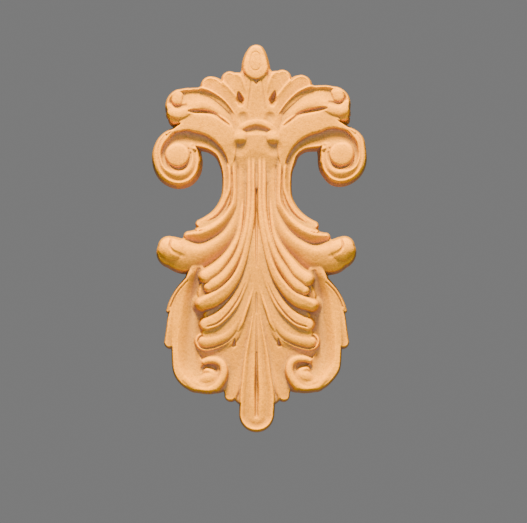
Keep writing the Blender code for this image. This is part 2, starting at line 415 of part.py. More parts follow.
def clear_outside(obj):
    """Takes away the faces that lie behind the wall plane."""
    bm = bmesh.new()
    bm.from_mesh(obj.data)
    away = [f for f in bm.faces if min(v.co.y for v in f.verts) > 0]
    bmesh.ops.delete(bm, geom=away, context="FACES")
    bmesh.ops.triangulate(bm, faces=bm.faces[:])
    bm.to_mesh(obj.data)
    bm.free()


def thin_out(obj):
    mod = obj.modifiers.new("thin", "DECIMATE")
    mod.ratio = FACES / len(obj.data.polygons)
    bpy.context.view_layer.objects.active = obj
    bpy.ops.object.modifier_apply(modifier=mod.name)


def close_back(obj):
    """Cuts the relief on the wall plane and closes it with a flat back."""
    bm = bmesh.new()
    bm.from_mesh(obj.data)
    everything = bm.verts[:] + bm.edges[:] + bm.faces[:]
    bmesh.ops.bisect_plane(bm, geom=everything, plane_co=(0, 0, 0), plane_no=(0, 1, 0), clear_outer=True)
    keep_largest(bm)
    bmesh.ops.remove_doubles(bm, verts=bm.verts[:], dist=WELD * MM)
    bmesh.ops.triangulate(bm, faces=bm.faces[:])
    rim = [e for e in bm.edges if e.is_boundary]
    for v in {v for e in rim for v in e.verts}:
        v.co.y = 0.0
    bmesh.ops.triangle_fill(bm, edges=rim, use_beauty=True, normal=(0, 1, 0))
    bmesh.ops.recalc_face_normals(bm, faces=bm.faces[:])
    bm.to_mesh(obj.data)
    bm.free()


def keep_largest(bm):
    left = set(bm.faces)
    groups = []
    while left:
        group = {left.pop()}
        edge = list(group)
        while edge:
            for e in edge.pop().edges:
                for f in e.link_faces:
                    if f in left:
                        left.remove(f)
                        group.add(f)
                        edge.append(f)
        groups.append(group)
    groups.sort(key=len)
    scraps = [f for group in groups[:-1] for f in group]
    bmesh.ops.delete(bm, geom=scraps, context="FACES")


def clear_scene():
    for obj in list(bpy.data.objects):
        bpy.data.objects.remove(obj, do_unlink=True)


def build():
    clear_scene()
    home = bpy.data.collections.new("carved_acanthus_applique")
    bpy.context.scene.collection.children.link(home)
    obj = field(NAME)
    for collection in list(obj.users_collection):
        collection.objects.unlink(obj)
    home.objects.link(obj)
    clear_outside(obj)
    thin_out(obj)
    close_back(obj)
    obj.data.materials.append(wood())


build()
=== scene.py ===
"""Carved acanthus applique, as photographed: fine relief, wood and soft studio light.

Lengths are in metres unless marked otherwise.
"""
import bpy
import bmesh
import math
import numpy as np
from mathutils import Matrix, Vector


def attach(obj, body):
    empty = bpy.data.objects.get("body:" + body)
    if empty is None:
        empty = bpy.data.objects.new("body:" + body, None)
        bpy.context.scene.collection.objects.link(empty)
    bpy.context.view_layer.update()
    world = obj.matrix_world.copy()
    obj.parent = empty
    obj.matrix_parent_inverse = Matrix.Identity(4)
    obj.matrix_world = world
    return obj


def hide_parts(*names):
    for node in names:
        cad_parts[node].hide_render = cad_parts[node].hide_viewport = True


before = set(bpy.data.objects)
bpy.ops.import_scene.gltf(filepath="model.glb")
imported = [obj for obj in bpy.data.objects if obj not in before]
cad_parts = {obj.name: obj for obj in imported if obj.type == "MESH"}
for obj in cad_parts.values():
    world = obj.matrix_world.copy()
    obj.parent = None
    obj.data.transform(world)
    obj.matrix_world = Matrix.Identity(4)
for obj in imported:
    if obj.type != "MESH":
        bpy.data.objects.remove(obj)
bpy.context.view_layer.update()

MM = 0.001
# The carving, in millimetres
WIDTH = 108.0              # overall, over the volutes
HEIGHT = 195.0             # overall, finial to tongue
MARGIN = 3.0               # how far the field of points runs on beyond the outline
PITCH = 0.34               # spacing of the points before thinning
WALL_TOP = 11.0            # rise of the outer wall for each millimetre inwards, where it faces up or out
WALL_FOOT = 5.0            # the same where it faces down
WALL_INNER = 6.0           # the same where it faces the stem
ROUNDING = 1.2             # edge rounding between wall and top
CUT_DEPTH = 8.0            # how far the wall runs on behind the back plane before the cut
BASE_RISE = 2.0            # top surface before any leaf is laid on it
NO_RIM = -40.0             # the outer wall's height where no leaf reaches
LEAF_REACH = 4.0           # how far beyond its edge a leaf still counts
TROUGH_REACH = 3.0         # the same for a trough
LINE_REACH = 0.6           # the same for an incised line
LINE_WIDTH = 0.5           # half width of an incised line
EDGE_FALL = 4.0            # fall of a leaf's edge for each millimetre outwards
SKIRT_FALL = 1.2           # the gentler fall below that edge
LEAST_HALF_WIDTH = 0.05    # of any stroke
SHEER = (9, 9)             # drop at both ends of a leaf whose edge falls steeply all round
# The mesh
CURVE_STEPS = 8            # pieces between two rows of a stroke
SECTION_STEPS = 6          # pieces between two points of a section
PAINTED_SHADING = ((2, 0.5), (6, 0.45), (16, 0.55))   # reach in grid steps and strength of each painted shade in hollows and painted highlight on ridges
FACES = 185000             # triangles kept on the carved side
WELD = 0.00001             # points of the cut edge nearer than this become one

# The photograph: half a millimetre to the pixel, in the middle of the relief
PHOTO_MM_PER_PIXEL = 0.5
PHOTO_WIDTH = 527
LENS = 250.0               # in millimetres, as the sensor
SENSOR = 36.0
SCALE_PLANE = 9.0          # height off the wall at which that scale holds, in millimetres
AXIS_COLUMN = 256.5        # the ornament's axis
ORIGIN_ROW = 238.75        # the ornament's origin
CENTRE_COLUMN = 263.5      # the photograph's own centre
CENTRE_ROW = 261.5

# Sections across a leaf: (place across, -1 lower edge to 1 upper edge; height, 1 is the crest)
ROUND = ((-1, 0), (-.9, .42), (-.7, .72), (-.4, .93), (0, 1), (.4, .93), (.7, .72), (.9, .42), (1, 0))
FLAT = ((-1, 0), (-.85, .7), (-.5, .95), (0, 1), (.5, .95), (.85, .7), (1, 0))
SLOPING = ((-1, 0), (-.85, .16), (-.5, .46), (0, .82), (.3, .97), (.45, 1), (.75, .88), (1, .5))
FALLING = ((-1, 0), (-.9, .34), (-.7, .6), (-.35, .8), (.1, .93), (.5, 1), (.8, .8), (1, .3))
ROLLED = ((-1, 0), (-.88, .2), (-.65, .47), (-.35, .74), (0, .93), (.3, 1), (.55, .92), (.75, .66),
          (.88, .4), (1, 0))
CREST_OUT = ((-1, 0), (-.6, .35), (0, .75), (.45, 1), (.8, .8), (1, .3))
CREST_IN = ((-1, .1), (-.8, .8), (-.5, 1), (0, .7), (.6, .3), (1, .1))
SCROLL_RING = ((-1, 0), (-.8, .5), (-.58, .95), (-.42, 1), (-.22, .9), (0, .66), (.14, .52), (.27, .56),
               (.4, .66), (.55, .5), (.75, .25), (.9, .08), (1, 0))
LIPPED = ((-1, 0), (-.85, .3), (-.7, .62), (-.5, .92), (-.3, 1), (-.1, .92), (.1, .66), (.28, .36),
          (.45, .16), (.6, .06), (.7, .12), (.8, .5), (.88, .85), (.94, 1), (1, .8))
COVE = ((-1, .9), (-.86, 1), (-.5, .45), (-.1, .15), (.4, 0), (1, .1))
PETAL = ((-1, 0), (-.6, .15), (0, .25), (.5, .5), (.85, 1), (1, .3))
CAPSULE = ((-1, .1), (-.87, .55), (-.72, .12), (-.5, .72), (-.1, 1), (.3, 1), (.5, .75), (.68, .12),
           (.86, .55), (1, .1))
TONGUE = ((-1, .1), (-.9, 1), (-.6, .5), (-.32, .66), (-.14, .6), (0, .1), (.14, .6), (.32, .66), (.6, .5),
          (.9, 1), (1, .1))

# Strokes of one half, in millimetres: rows of distance from the axis, height on the panel, half width,
# and rise off the wall. What cut_groove and ring_line cut has its depth as the last number instead.

# The ground, the framed sides and the small volutes below
GROUND = ((0, -14, 8, 6.5), (0, -32, 26, 6.8), (0, -50, 33, 7.6), (0, -60, 28, 6.9), (0, -71, 15, 5.8))
SIDE_LOBE = ((9.5, -54, 6, 6.2), (11.2, -66, 5.6, 6.6), (12.2, -74, 5.0, 6.8), (12.9, -78.8, 3.2, 6.4))
FRAME_TIP_1 = ((30.6, -14.5, 2.2, 11.6), (32.6, -19, 2.4, 11.2), (35, -22.6, 2.8, 10.2),
               (38, -26.8, 3.1, 9), (40.6, -31, 2.9, 7.8), (42.6, -34.2, 2.3, 6.8), (43.9, -36.2, 1.5, 6))
FRAME_TIP_2 = ((33, -22, 3, 7.6), (36.7, -29, 4.0, 7.6), (40.4, -38, 3.9, 7.3), (42.0, -46, 3.5, 7),
               (43.2, -52.2, 3.2, 6.4))
FRAME = ((29.5, -15, 3.2, 11), (31.6, -21, 4.2, 10.2), (33.8, -27.5, 5.4, 9), (35.8, -35, 5.8, 8.2),
         (36.8, -44, 6.0, 8), (36.8, -54, 6.0, 8), (35.2, -62.3, 7.4, 8.4), (33.8, -66, 7.9, 8.8),
         (31.2, -69.2, 7.4, 9), (25.5, -71.2, 6.8, 9.4))
LOW_VOLUTE = ((30, -70.2, 7.2, 7.8), (22, -70.9, 6.9, 8), (19.4, -67.8, 4.2, 8.2), (19.4, -64, 4, 8.2),
              (22, -63.4, 3.4, 8))
FRAME_TROUGH = ((28.8, -15.5, 1.4, 10.2), (29.8, -22, 2.0, 7.4), (30.6, -28.5, 2.4, 5.4),
                (31.2, -36, 2.6, 4.4), (32.0, -44, 3.0, 4.2), (32.6, -54, 3.4, 4.2),
                (32.0, -61.6, 3.6, 4.6), (29.8, -66.0, 3.2, 5.6), (26.8, -69, 2.4, 6.8))
LOW_EYE = ((20.0, -66.4, 1.0, .8), (20.8, -64.5, 1.7, 2.0), (23.6, -63.6, 2.1, 2.6),
           (26.4, -64.4, 1.7, 2.0), (27.6, -66.4, 1.0, .8))
LOW_RIM = ((36, -70.2, 1.8, 9.2), (31.2, -74.2, 1.8, 9.6), (26, -75.8, 1.9, 10), (21.4, -74.8, 2.0, 10.4),
           (18, -71.2, 2.0, 10.6), (16.4, -67, 1.8, 10.6), (17.2, -63, 1.7, 10.4), (20, -61, 1.6, 10.2),
           (23.5, -60.8, 1.4, 9.8), (26.2, -61.6, 1.1, 9))
LOW_BALL = ((28.2, -71.2, 2.2, 8.2), (24.8, -70.2, 3.2, 9.6), (23.0, -69.2, 2.6, 9.8))
TIP_LINE = ((34.6, -21, .6, .6), (38.7, -25.6, .7, 1.1), (41.2, -29.6, .7, 1.1), (43, -34.1, .6, .8))

# The broad middle leaf, the fingers beside it, G to J downwards, and the tongue
BROAD_LEAF = ((0, 14, .6, 8.6), (0, 6, 1.4, 10), (0, -4, 3.4, 11), (0, -12, 6.4, 11), (0, -20, 8.8, 10.6),
              (0, -28, 9.4, 10.2), (0, -38, 8, 9.2), (0, -46, 6, 8.2))
LEAF_BED = ((20, -16, 3, 11), (23.5, -21, 3.2, 11), (26, -27, 2.8, 10.4), (26.8, -31.5, 1.8, 9))
FINGER_BED = ((5, -28, 4, 10), (10, -36, 4.6, 10), (16, -43, 5, 9.8), (22, -47, 5, 9.4))
GAP_BED = ((6, -24, 2, 9.8), (12, -31, 3, 9.6), (19.5, -37, 3.2, 9.2), (23.8, -38.4, 2.4, 9))
FINGER_J = ((5, -36, 1.8, 9.2), (6.2, -46, 2.2, 8.6), (7.4, -52.5, 1.9, 7.8), (8.4, -56, 1.2, 7.0))
FINGER_I = ((6.5, -42, 1.6, 9.2), (10.2, -47.6, 2.3, 8.9), (13.5, -51.4, 2.5, 8.4), (16.4, -54.2, 1.9, 7.4))
FINGER_H = ((4.5, -27, 1.6, 9.8), (7.0, -38, 2.4, 9.8), (10.5, -43.9, 3.0, 9.9), (14.5, -48.1, 3.6, 10),
            (19.5, -50.6, 4.1, 10), (24.5, -51.6, 4.6, 9.8), (26.2, -51.4, 4.5, 9.6))
FINGER_H_RIM = ((4, -21, 0.7, 9.6), (6.4, -27.4, 1.0, 10.2), (10.8, -34.8, 1.2, 10.2),
                (16.2, -40.8, 1.3, 10.2), (21, -44.4, 1.3, 10), (25, -45.6, 1.2, 9.6))
FINGER_G = ((3.5, -14, 2.2, 10.9), (6.2, -22, 2.4, 11.1), (9.4, -28.6, 2.7, 11.3), (12.4, -33.4, 3.0, 11.7),
            (16.2, -37.6, 3.2, 11.8), (20.8, -41, 3.5, 11.8), (24.8, -42.7, 3.4, 11.4))
G_LINE = ((5.4, -22, .4, .2), (8.2, -28.4, .6, .8), (11.2, -33.4, .7, 1.1), (15.2, -38.4, .7, 1.2),
          (19.6, -42.2, .7, 1.2), (24.6, -43.9, .6, .8))
I_NOTCH = ((10.8, -49.8, .3, .6), (11.1, -51.6, .9, 1.8), (11.3, -53.4, 1.4, 2.0))
V_RIDGE = ((1.4, -24, .6, 10.4), (3.8, -31.6, .8, 11), (5.7, -37.2, .8, 10.9), (7.2, -42, .8, 10.4),
           (9.2, -45.8, .6, 9.4))
TONGUE_LEAF = ((0, -30, .8, 9.6), (0, -45.6, 3.5, 9.8), (0, -58, 6, 9.4), (0, -70.6, 7.6, 9.2),
               (0, -80, 8.5, 8.8), (0, -88.5, 8.7, 8.2))
CENTRE_CLEFT = ((0, -57, .6, .5), (0, -66, 1.0, 2.2), (0, -72, 1.2, 3.8), (0, -77, 1.2, 3.8),
                (0, -83, .9, 2.0), (0, -88, .6, .6))

# The long leaves that fall from the stem to both sides, the last three lettered downwards
EDGE_LEAF = ((14.4, 34, 2.9, 9.3), (14.3, 29.4, 2.9, 9.6), (14.3, 24.4, 3.0, 9.8), (15.0, 20, 3.1, 9.8),
             (17.3, 14.9, 3.3, 9.8), (20.8, 11.0, 3.2, 9.8), (25.1, 8.4, 2.9, 9.6), (28.2, 7.3, 2.5, 9.2))
RIDGE_1 = ((14.2, 38.5, .5, 9.4), (13.8, 36.4, .8, 10.8), (13.4, 33, .8, 11.2), (13.25, 29.4, .8, 11.2),
           (13.75, 24.4, .8, 11.2), (15.25, 20.4, .8, 11.1), (17.25, 16.4, .8, 10.9),
           (20.25, 12.4, .8, 10.3), (24.25, 9.4, .7, 9.3))
SECOND_LEAF = ((11.4, 46, .8, 9.0), (11.2, 38, 1.1, 10.8), (10.9, 24.4, 1.2, 11.4), (11.1, 19, 1.4, 11.8),
               (12.0, 15.4, 1.8, 12.3), (15.8, 9.0, 2.8, 13.2), (21, 4.3, 3.6, 14.0),
               (26.8, 1.5, 3.8, 13.8), (31.4, 1.1, 3.3, 12.6), (34.0, 1.2, 2.7, 11.2))
ROLL_LEAF = ((7.6, 46, 2.0, 8.6), (7.3, 38, 2.5, 9.4), (7.2, 24.4, 2.8, 9.6), (8.3, 15, 3.0, 10.2),
             (10.4, 8.2, 3.5, 11.4), (14.25, 1.4, 4.1, 12.6), (20.25, -4.2, 5.5, 13.3),
             (27.5, -8.2, 6.7, 13.7), (35.4, -9.1, 8.7, 13.7), (42.3, -6.9, 8.0, 13.6))
ROLL_END = ((42.6, -4.9, 6.1, 13.5), (44.0, -4.2, 5.6, 13.4))
ROLL_CREASE = ((42.2, .4, .9, 2.2), (43.0, -1.8, .8, 2.0), (43.3, -3.6, .8, 1.7), (42.6, -5.2, 1.0, .8),
               (41.0, -6.6, 1.3, .5), (36.5, -8.6, 1.4, .3))
LEAF_D = ((7.0, 20, .5, 9.2), (7.4, 14, .9, 10.8), (8.9, 2.6, 1.4, 12.2), (11.75, -4.4, 1.8, 13.4),
          (15.5, -10.2, 2.4, 14.4), (20.25, -15.4, 3.1, 15.7), (25.0, -18.8, 3.5, 15.6))
LEAF_E = ((3.9, 46, 1.0, 9.0), (3.7, 38, 1.1, 11), (3.7, 20, 1.15, 11.5), (4.6, 8.4, 1.4, 12),
          (6.3, .4, 1.9, 12.6), (8.75, -6.6, 2.1, 13.2), (12.0, -12.9, 2.4, 14.2), (16.0, -18.0, 2.9, 15.1),
          (20.5, -22.0, 3.3, 15.9), (23.4, -24.1, 3.0, 15.2))
LEAF_F = ((1.4, 44, 1.0, 9.2), (1.3, 37, 1.1, 11.3), (1.3, 20, 1.15, 11.7), (2.4, 8, 1.25, 12),
          (4.8, -4.6, 1.5, 12.6), (7.25, -13.1, 1.8, 13.4), (10.5, -20.1, 2.4, 14.0),
          (15.5, -25.9, 3.2, 14.7), (21.5, -30.1, 3.8, 15.0), (26.75, -32.5, 3.1, 14.4))
STEM_CLEFT = ((0, 47, .5, .1), (0, 42, .8, 1.2), (0, 35, 1.1, 3.6), (0, 14, 1.2, 4.0), (0, 2, 1.0, 2.6),
              (0, -14, .5, .6))
FLUTE_CLEFT = ((12.8, 40, .5, .6), (12.3, 31, .9, 2.0), (12.2, 22, .9, 2.0), (13.6, 16.4, .8, 1.4),
               (17, 11.5, .6, .6))
V_CLEFT = ((0, -27, .6, .3), (0, -31, 1.0, 1.0), (0, -37, .8, .6))

# The fan's ground, the bays' rims and the big volutes
FAN = ((0, 79, 9, 11), (0, 73, 12.8, 11.9), (0, 62, 13, 12), (0, 54, 12, 12.3), (0, 49, 11.5, 12.1),
       (0, 44, 12.2, 11.7), (0, 39, 11, 10.5), (0, 33, 8, 9.2))
VOLUTE_FLOOR = ((39.3, 40.6, 11.8, 10),)
BAY_RIM = ((14.6, 20, 1.6, 7.6), (14.9, 27, 2.2, 8.6), (14.9, 32, 2.5, 9.2), (15.2, 37.2, 3.4, 9.9),
           (17.4, 42.6, 3.7, 10.8), (21.2, 46.3, 4.2, 11.2), (25.4, 48.6, 5.0, 11.4), (30, 49.6, 5.2, 11.4),
           (36, 50.4, 4.4, 11.2), (39.6, 50.6, 3.5, 10.9), (42.8, 49.3, 2.6, 10.4), (45.2, 46.8, 1.8, 10))
SCROLL = ((13.1, 33, .6, 9.2), (12.95, 36.5, .9, 10.8), (12.8, 40, 1.8, 11.5), (13.2, 44, 3.2, 12.4),
          (14.3, 48.4, 4.8, 13.3), (16.2, 52.2, 5.8, 13.6), (19, 55.2, 6.2, 13.8), (22.6, 57, 6.0, 13.9),
          (26.8, 57.9, 5.4, 13.9), (32, 58.2, 4.7, 13.8), (35.5, 57.3, 3.4, 13.6), (38.5, 55.6, 1.8, 13.4),
          (41.4, 54.5, 1.3, 13.2), (44, 52.9, 1.4, 13))
RING = ((40.6, 54.5, 1.4, 12.0), (43.4, 53.0, 1.9, 12.8), (45.8, 50.7, 2.5, 13.1), (47.8, 47.2, 3.1, 13.2),
        (48.6, 42, 3.9, 13.4), (47.5, 36.4, 4.4, 13.4), (44.6, 32.2, 4.8, 13.2), (40, 30.1, 5.0, 13),
        (35.4, 30.8, 4.9, 12.8), (32.2, 33.8, 4.4, 12.4), (31.0, 37.8, 4.0, 12), (31.1, 41, 3.7, 11.8),
        (31.4, 43.6, 3.5, 11.5), (31.8, 46.0, 3.0, 11.3))
SPIRAL = ((36, 50.6, 2.2, 11.2), (41, 49.6, 1.9, 11.0), (44.4, 46.6, 1.4, 10.2), (46.2, 42, 1.1, 9.6),
          (45.2, 37, .9, 10.4), (42.2, 34.4, .7, 11.6), (38.2, 34.2, .7, 12.0), (34.8, 35.8, .7, 11.6),
          (33.2, 39, .8, 11), (33.2, 42.4, 1.0, 10.8))
BOSS = ((39.4, 41.7, 6.0, 13.5),)

# The top curls, the petals, the finial and the arch with its bulbs
TOP_CURL = ((11, 56, 3, 10.5), (15.4, 61.6, 4.6, 12.4), (20.6, 66.2, 5.6, 13.2), (27, 68.6, 6.9, 13.8),
            (32.4, 67.7, 8.4, 14.2), (36.4, 66.2, 9.5, 14.2))
CURL_KNOB = ((39.4, 71.2, 2.6, 14.0), (39.6, 69.2, 2.6, 14.0))
CURL_LIP = ((43.5, 65.2, 2.1, 13.8), (41.5, 62.8, 2.3, 14.4), (38.2, 62.0, 2.4, 14.5),
            (35, 63.2, 2.0, 14.3), (33, 64.4, 1.2, 13.8))
CURL_FOLD = ((43.0, 71.4, .6, .3), (43.1, 69.0, .9, .7), (41.6, 66.6, 1.1, .9), (38.4, 65.9, 1.5, 1.3),
             (35.4, 66.4, 1.3, .8))
CURL_SLIT = ((33.6, 63.6, 1.0, 1.0), (31, 63.6, 1.4, 2.2), (26, 63.2, 1.4, 2.2), (21.4, 62.2, 1.2, 1.6),
             (17.2, 59.4, 1.0, 1.3), (13.6, 56.6, .9, .7))
PETAL_2 = ((7.4, 60, 3, 9.6), (10.6, 65.4, 4.0, 12), (15.4, 71, 4.8, 12.8), (20.4, 75.3, 5.4, 13),
           (22.7, 76.2, 5.4, 12.8))
PETAL_1 = ((6.5, 66, 2.6, 9.6), (8.2, 73, 3.8, 12.4), (10.6, 77.8, 4.9, 12.8), (12.9, 79.4, 4.7, 12.4))
FAN_PANEL = ((0, 60, 5.5, 11), (0, 72, 5.6, 12.4), (0, 80, 5.5, 12.8))
EYE = ((8.9, 72.9, .9, 1.2), (8.5, 70.8, 2.0, 4.2), (8.1, 69.0, 2.5, 5.0), (7.9, 67.6, 1.9, 3.6))
DIMPLE = ((6.7, 60.6, 3.2, 1.1), (6.2, 59.4, 3.0, 1.0))
PANEL_LINE = ((2.6, 79, .5, .4), (3.4, 72, .6, .7), (4.4, 64.5, .5, .4))
FINIAL_CLEFT = ((0, 79.6, 2.4, 1.4), (0, 77.4, .8, .9))
FINIAL = ((0, 91.6, 4.4, 14.0), (0, 88.6, 5.6, 14.3), (0, 85.6, 5.8, 14.3))
FINIAL_INCISION = ((0, 91.2, 2.0, .35), (0, 88.2, 2.6, .35), (0, 86.4, 2.5, .35))
ARCH_RECESS = ((8.4, 52.8, 1.1, .9), (4.5, 53.9, 2.2, 1.5), (0, 54.6, 3, 1.6))
ARCH = ((9.4, 53.6, 1.5, 12.4), (6.8, 56.0, 1.5, 12.7), (3.4, 57.6, 1.5, 12.9), (0, 58.2, 1.5, 12.9))
BULB = ((8.3, 50.8, 3.9, 13.9),)
BULB_SHADE = ((8.3, 45.6, 4.6, 1.1),)

# Solid under the leaves: rows of distance from the axis, height on the panel, half width
STEM_BODY = ((0, 84, 6), (0, 76, 14), (0, 64, 17), (0, 48, 18), (0, 43, 17.2), (0, 39, 16), (0, 34, 15),
             (0, 28, 15), (0, 18, 16), (0, 10, 18), (0, -4, 20), (0, -18, 22), (0, -30, 26))
WING_BODY = ((8, 8, 8), (16, 2, 9), (24, -4, 9), (32, -7, 9))
UPPER_BODY = ((10, 52, 9), (18, 58, 9), (26, 62, 9), (34, 63, 8), (37.4, 62.8, 7.6))
NECK_BODY = ((22, 74, 5), (30, 71.5, 4), (35, 69, 6.4), (38, 66.4, 7.4), (39.6, 62.4, 6.1),
             (39.6, 60.2, 4.8))
SCROLL_BODY = ((16, 45, 4.8), (18, 47, 5.5), (24, 51.5, 7.2), (31, 53.4, 6.8), (36, 52.4, 6.2),
               (39.6, 50.2, 5.6), (42.3, 46.5, 7))
LOWER_BODY = ((12, -10, 9), (17, -20, 11), (24, -26, 9), (27, -34, 8), (27, -50, 9), (26, -64, 9),
              (20.4, -69.8, 7.9))
SHOULDER_BODY = ((22, -12, 7), (28, -16, 6), (31, -22, 5.5))
EDGE_BODY = ((12.5, 32, 2.4), (12.8, 22, 3.2), (16.4, 13.8, 4), (21.4, 8.8, 4), (25.6, 5.8, 3.6),
             (28.6, 4.2, 2.4))
PETAL_BODY = ((6.8, 78.2, 5.2), (11.4, 78.2, 5.1), (15, 75, 5), (19, 72.6, 5))
ROLL_BODY = ((30, -7.6, 6.2), (36, -8.2, 8.2), (41.5, -6.7, 8), (43.6, -4.6, 5.2))
FINIAL_BODY = ((0, 92.8, 4.7), (0, 90.6, 5.8), (0, 88, 6.6), (0, 84.6, 7.1), (0, 80, 7.3))

# The finial leans to the left
LEAN_PLACE = 88.0          # height at which it leans most
LEAN_REACH = 8.0
LEAN = 0.6

# Right half, where the hand strayed from the left one: place, reach, then how far outward and up
DRIFT_CALM = 0.15          # weight of no drift at all, so that each drift fades out
DRIFT = ((49, 53, 7, 5.2, .8), (33, 29, 5.5, 5.6, .6), (24, 43, 4, -.7, .65), (40, -14.6, 4, 2, -.5),
         (34, 76, 5, 0, 1.6), (34, -71, 5, -1.6, .3), (42, 41, 9, 3.2, .4), (51, 38, 6, 3.6, .6),
         (29.5, 38, 6, 4.6, -.5), (40, 30, 6, 3.2, 1.4), (43, 66, 9, 1.6, 2.0), (42, 56, 5, 4.2, 1.4),
         (20, 48, 8, .4, -.3), (14, 82, 6, .6, 1), (24, 78, 6, -.2, .9), (14, 30, 6, .5, 0),
         (28, 5, 6, .5, -.9), (33, 2, 6, .8, -1), (26, -20, 6, -.8, -1.6), (25, -26, 6, .4, -1.9),
         (28, -32, 6, .6, -.6), (44, -8, 9, -.2, .1), (32, -18, 5, .6, -.7), (26, -43, 6, .4, 0),
         (26, -51, 6, 1.2, -.1), (22, -66, 9, .2, 1), (44, -45, 9, .1, .1), (12, -79, 6, .8, 0))


def through(rows, steps=CURVE_STEPS):
    """The rows joined by a smooth curve."""
    p = np.asarray(rows, float)
    if len(p) == 1:
        p = np.vstack([p, p + (1e-3, 0, 0, 0)])
    p = np.vstack([2 * p[0] - p[1], p, 2 * p[-1] - p[-2]])
    t = np.arange(steps)[:, None] / steps
    out = []
    for a, b, c, d in zip(p, p[1:], p[2:], p[3:]):
        out.append(b + .5 * t * (c - a + t * (2 * a - 5 * b + 4 * c - d + t * (3 * (b - c) + d - a))))
    return np.vstack(out + [p[-2:-1]])


def smooth_max(a, b, k):
    """The higher of two heights, with the corner between them rounded over k."""
    h = np.clip(1 - np.abs(a - b) / k, 0, 1)
    return np.maximum(a, b) + h * h * k / 4


def smooth_min(a, b, k):
    return -smooth_max(-a, -b, k)


class Relief:
    """Heights off the wall over a field of points."""

    def __init__(self, u, z):
        self.u, self.z = u.ravel(), z.ravel()
        self.top = np.full(self.u.shape, BASE_RISE)
        self.rim = np.full(self.u.shape, NO_RIM)

    def near(self, rows, margin):
        """Points near a stroke.

        For each: its index, distance, side, share along, the stroke's half width and height there, and the
        height of the outer wall.
        """
        p = through(rows)
        reach = p[:, 2].max() + margin
        low, high = p[:, :2].min(0) - reach, p[:, :2].max(0) + reach
        m = np.flatnonzero((self.u > low[0]) & (self.u < high[0]) & (self.z > low[1]) & (self.z < high[1]))
        u, z = self.u[m], self.z[m]
        far = np.full(u.shape, 1e9)
        side, row, outward, upward = (np.zeros(u.shape) for _ in range(4))
        for i, (a, b) in enumerate(zip(p[:-1, :2], p[1:, :2])):
            d = b - a
            n2 = d @ d + 1e-12
            t = np.clip(((u - a[0]) * d[0] + (z - a[1]) * d[1]) / n2, 0, 1)
            eu, ez = u - a[0] - t * d[0], z - a[1] - t * d[1]
            r = np.hypot(eu, ez)
            w = r < far
            far[w] = r[w]
            row[w] = (i + t)[w]
            side[w] = ((d[0] * ez - d[1] * eu) / np.sqrt(n2) / np.maximum(r, 1e-6))[w]
            outward[w] = (eu / np.maximum(r, 1e-6))[w]
            upward[w] = (ez / np.maximum(r, 1e-6))[w]
        n = np.arange(len(p))
        w = np.maximum(np.interp(row, n, p[:, 2]), LEAST_HALF_WIDTH)
        slope = WALL_TOP - (WALL_TOP - WALL_FOOT) * np.maximum(-upward, 0)
        slope -= (WALL_TOP - WALL_INNER) * np.maximum(-outward, 0)
        rim = np.maximum(slope, WALL_FOOT) * (w - far)
        return m, far, side, row / (len(p) - 1), w, np.interp(row, n, p[:, 3]), rim

    def raise_leaf(self, rows, shape=ROUND, bulge=.9, most=3.0, drop=(1.0, 3.0), blend=.5):
        """Lays a leaf on the panel, with a section across it and an edge that drops to what lies below."""
        m, d, side, along, w, h, rim = self.near(rows, LEAF_REACH)
        section = through(shape, SECTION_STEPS)
        r = np.clip(d / w, 0, 1)
        f = np.interp(r, section[:, 0], section[:, 1]) * (1 + side) / 2
        f += np.interp(-r, section[:, 0], section[:, 1]) * (1 - side) / 2
        out = np.maximum(d - w, 0)
        step = drop[0] + (drop[1] - drop[0]) * along
        top = h - np.minimum(bulge * w, most) * (1 - f)
        top -= np.minimum(EDGE_FALL * out, step) + SKIRT_FALL * np.maximum(out - step / EDGE_FALL, 0)
        self.top[m] = smooth_max(self.top[m], top, blend)
        self.rim[m] = np.maximum(self.rim[m], rim)

    def fill_body(self, rows):
        """Solid under the leaves, which widens the outline alone."""
        m, _, _, _, _, _, rim = self.near([(u, z, half, 0) for u, z, half in rows], LEAF_REACH)
        self.rim[m] = np.maximum(self.rim[m], rim)

    def fill_egg(self, rows):
        """Circles along a short path, for an outline that tapers fast."""
        for u, z, r, _ in through([(u, z, half, 0) for u, z, half in rows]):
            self.rim = np.maximum(self.rim, WALL_TOP * (r - np.hypot(self.u - u, self.z - z)))

    def cut_groove(self, rows, power=2.0):
        """Takes a rounded hollow out of what is there."""
        m, d, _, _, w, depth, _ = self.near(rows, .2)
        self.top[m] -= depth * (1 - np.clip(d / w, 0, 1) ** 2) ** power

    def ring_line(self, rows):
        """A fine line around a stroke's edge."""
        m, d, _, _, w, depth, _ = self.near(rows, LINE_REACH)
        self.top[m] -= depth * np.clip(1 - np.abs(d - w) / LINE_WIDTH, 0, 1)

    def cut_trough(self, rows, lip=.8, wall=4.0, blend=.6):
        """Cuts down to a floor at a stated rise off the wall, with steep sides."""
        m, d, _, _, w, floor, _ = self.near(rows, TROUGH_REACH)
        z = floor + lip * np.minimum(d / w, 1) ** 2 + wall * np.maximum(d - w, 0)
        self.top[m] = smooth_min(self.top[m], z, blend)

    def height(self):
        """The leaves within the outer wall, the edge between them rounded."""
        return smooth_min(self.top, self.rim, ROUNDING)


